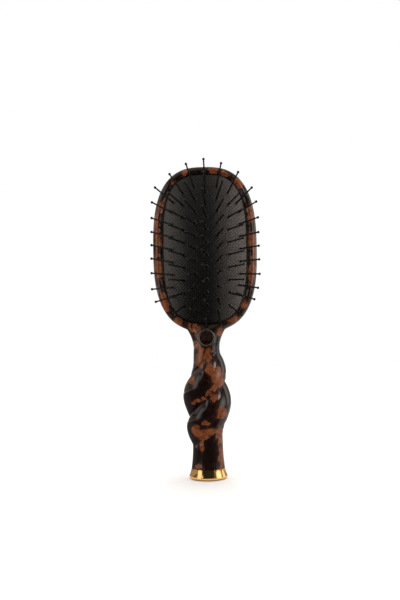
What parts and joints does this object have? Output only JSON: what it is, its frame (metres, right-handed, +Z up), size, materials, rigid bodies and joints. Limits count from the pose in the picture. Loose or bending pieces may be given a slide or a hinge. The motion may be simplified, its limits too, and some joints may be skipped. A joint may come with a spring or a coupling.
{
  "type": "cushion hairbrush",
  "caption": "Upright oval cushion hairbrush in tortoiseshell acetate: twisted rope handle on a flared gold foot, domed black rubber pad with ball-tipped pins.",
  "frame": {"origin": "centre of the foot's flat underside, on the surface the brush stands on", "axes": "+Z up the handle to the crown of the head, -Y the way the pins face, +X to the right seen from the pin side"},
  "size_m": [0.0757, 0.0491, 0.2241],
  "materials": {
    "tortoiseshell": "polished tortoiseshell acetate, amber blotches in near-black brown",
    "rubber": "fine diamond texture, low sheen",
    "nylon": "smooth black nylon",
    "gold_plate": "mirror-polished gold plate",
    "aged_bronze": "aged bronze ring round dark enamel",
    "steel": "turned steel",
    "foot_rubber": "matt"
  },
  "bodies": {
    "brush": {"brush_body": "tortoiseshell", "neck_medallion": "aged_bronze", "cushion_membrane": "rubber", "base_cap": "gold_plate", "ballast_slug": "steel", "base_screw": "steel", "foot_pad": "foot_rubber"},
    "pins_centre_body": {"pins_centre": "nylon"},
    "pins_ring_1_body": {"pins_ring_1": "nylon"},
    "pins_ring_2_body": {"pins_ring_2": "nylon"},
    "pins_ring_3_body": {"pins_ring_3": "nylon"},
    "pins_ring_4_body": {"pins_ring_4": "nylon"},
    "pins_ring_5_body": {"pins_ring_5": "nylon"},
    "pins_ring_6_body": {"pins_ring_6": "nylon"},
    "pins_ring_7_body": {"pins_ring_7": "nylon"},
    "pins_ring_8_body": {"pins_ring_8": "nylon"}
  },
  "joints": [
    {"name": "press_centre", "type": "slide", "parent": "brush", "child": "pins_centre_body", "axis": [0, 1, 0], "range_m": [0, 0.00385], "stiffness_N_per_m": 1200, "deforming": ["cushion_membrane"]},
    {"name": "press_ring_1", "type": "slide", "parent": "brush", "child": "pins_ring_1_body", "axis": [0, 1, 0], "range_m": [0, 0.00355], "deforming": ["cushion_membrane"]},
    {"name": "press_ring_2", "type": "slide", "parent": "brush", "child": "pins_ring_2_body", "axis": [0, 1, 0], "range_m": [0, 0.00313], "deforming": ["cushion_membrane"]},
    {"name": "press_ring_3", "type": "slide", "parent": "brush", "child": "pins_ring_3_body", "axis": [0, 1, 0], "range_m": [0, 0.00293], "deforming": ["cushion_membrane"]},
    {"name": "press_ring_4", "type": "slide", "parent": "brush", "child": "pins_ring_4_body", "axis": [0, 1, 0], "range_m": [0, 0.0026], "deforming": ["cushion_membrane"]},
    {"name": "press_ring_5", "type": "slide", "parent": "brush", "child": "pins_ring_5_body", "axis": [0, 1, 0], "range_m": [0, 0.00217], "deforming": ["cushion_membrane"]},
    {"name": "press_ring_6", "type": "slide", "parent": "brush", "child": "pins_ring_6_body", "axis": [0, 1, 0], "range_m": [0, 0.00169], "deforming": ["cushion_membrane"]},
    {"name": "press_ring_7", "type": "slide", "parent": "brush", "child": "pins_ring_7_body", "axis": [0, 1, 0], "range_m": [0, 0.00136], "deforming": ["cushion_membrane"]},
    {"name": "press_ring_8", "type": "slide", "parent": "brush", "child": "pins_ring_8_body", "axis": [0, 1, 0], "range_m": [0, 0.00114], "deforming": ["cushion_membrane"]}
  ],
  "couplings": [
    {"joint": "press_ring_1", "follows": "press_centre", "ratio": 0.9237},
    {"joint": "press_ring_2", "follows": "press_centre", "ratio": 0.8143},
    {"joint": "press_ring_3", "follows": "press_centre", "ratio": 0.7609},
    {"joint": "press_ring_4", "follows": "press_centre", "ratio": 0.6753},
    {"joint": "press_ring_5", "follows": "press_centre", "ratio": 0.5633},
    {"joint": "press_ring_6", "follows": "press_centre", "ratio": 0.4383},
    {"joint": "press_ring_7", "follows": "press_centre", "ratio": 0.3525},
    {"joint": "press_ring_8", "follows": "press_centre", "ratio": 0.2954}
  ]
}
